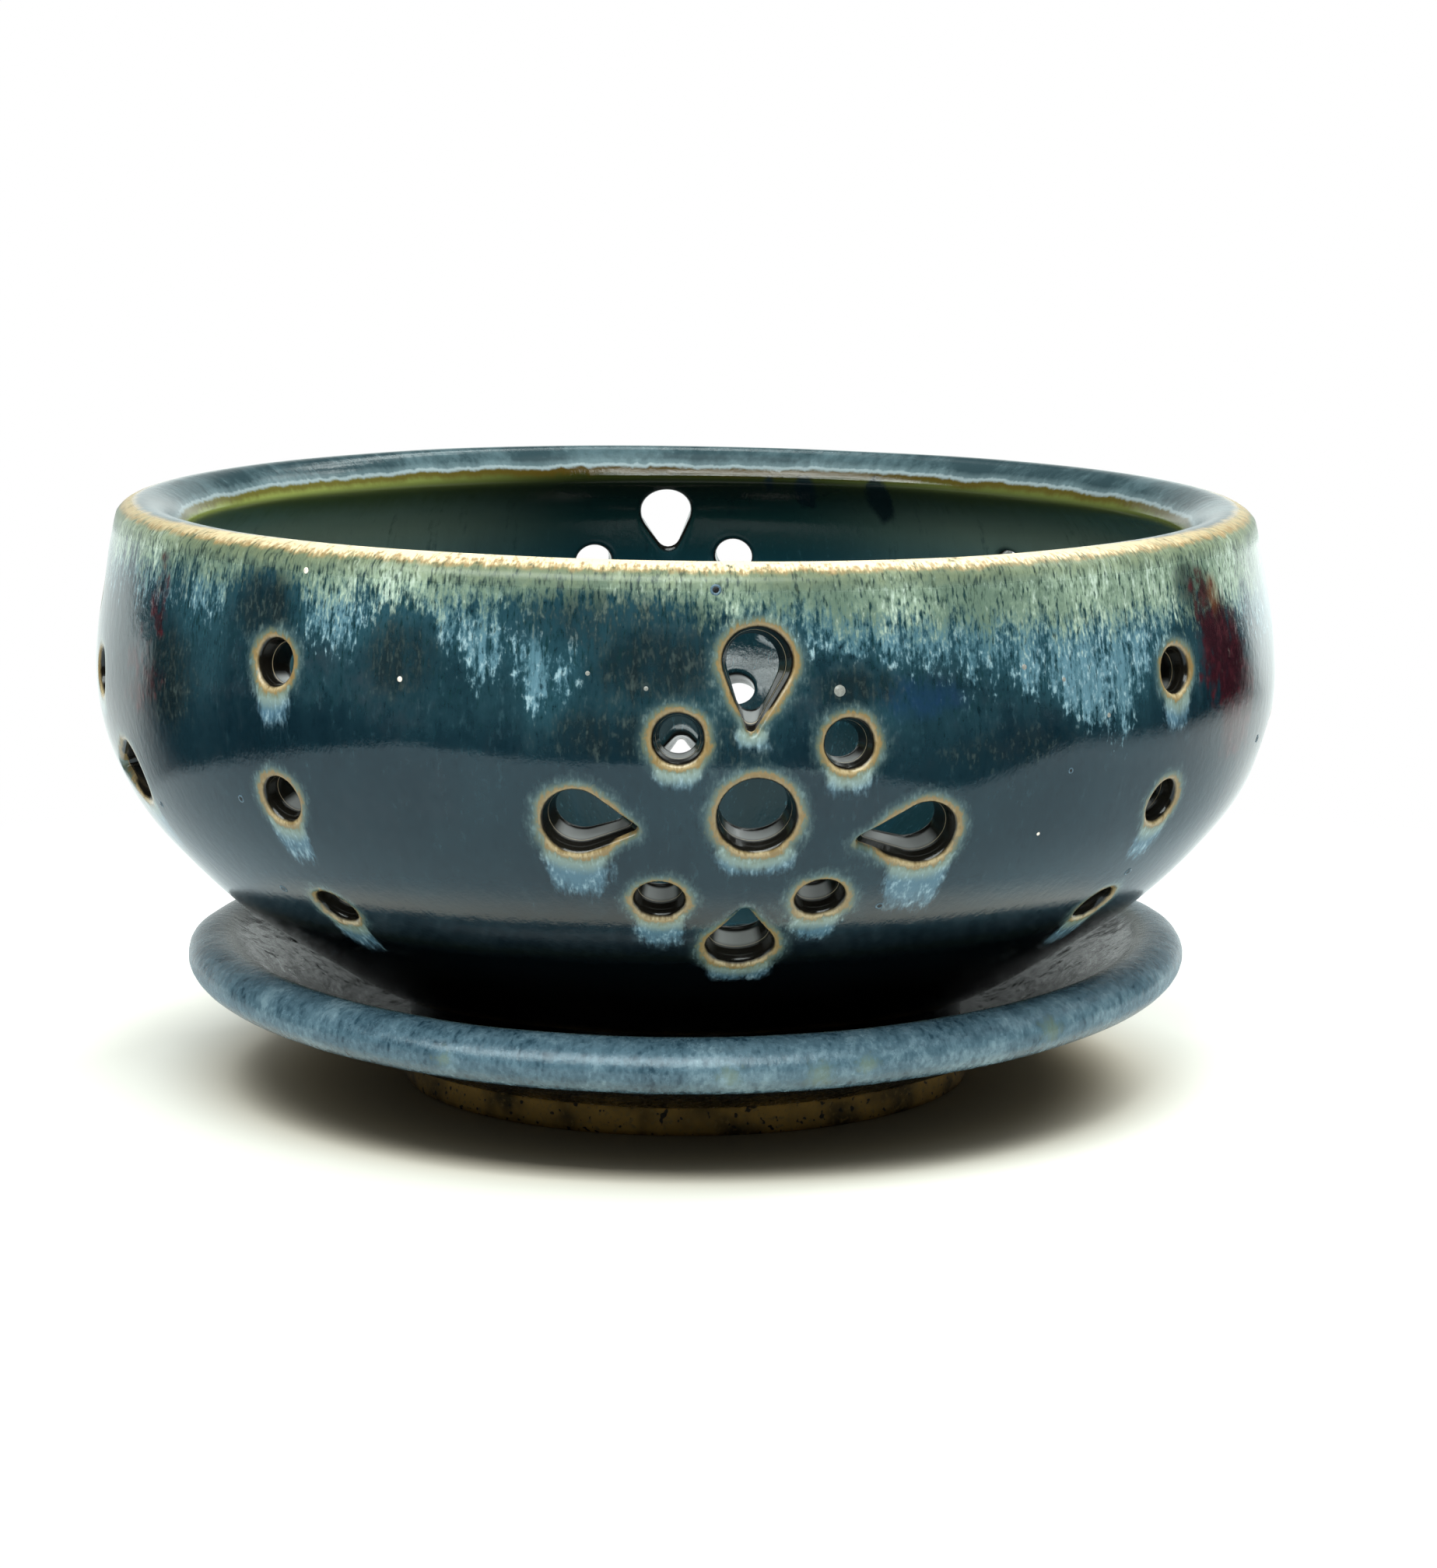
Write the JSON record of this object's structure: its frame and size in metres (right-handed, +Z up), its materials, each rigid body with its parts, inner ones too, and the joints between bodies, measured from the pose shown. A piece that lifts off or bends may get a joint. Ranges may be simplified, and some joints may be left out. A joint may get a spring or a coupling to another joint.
{
  "type": "berry colander bowl",
  "caption": "Wheel-thrown stoneware colander bowl with a turned-in rim, flower and dot drain holes in the wall, standing on a separate rolled-lip drip saucer.",
  "frame": {"origin": "centre of the saucer's foot ring, on the surface that it stands on", "axes": "+Z up along the axis that both pieces were turned about, -Y towards the flower of holes at the front of the picture, +X to its right"},
  "size_m": [0.1638, 0.1638, 0.0817],
  "materials": {
    "bowl_glaze": "gloss",
    "saucer_glaze": "gloss"
  },
  "bodies": {
    "saucer": {"drip_saucer": "saucer_glaze"},
    "bowl": {"colander_bowl": "bowl_glaze"}
  },
  "joints": [
    {"name": "bowl_lift", "type": "slide", "parent": "saucer", "child": "bowl", "axis": [0, 0, 1], "range_m": [0, 0.1]}
  ]
}
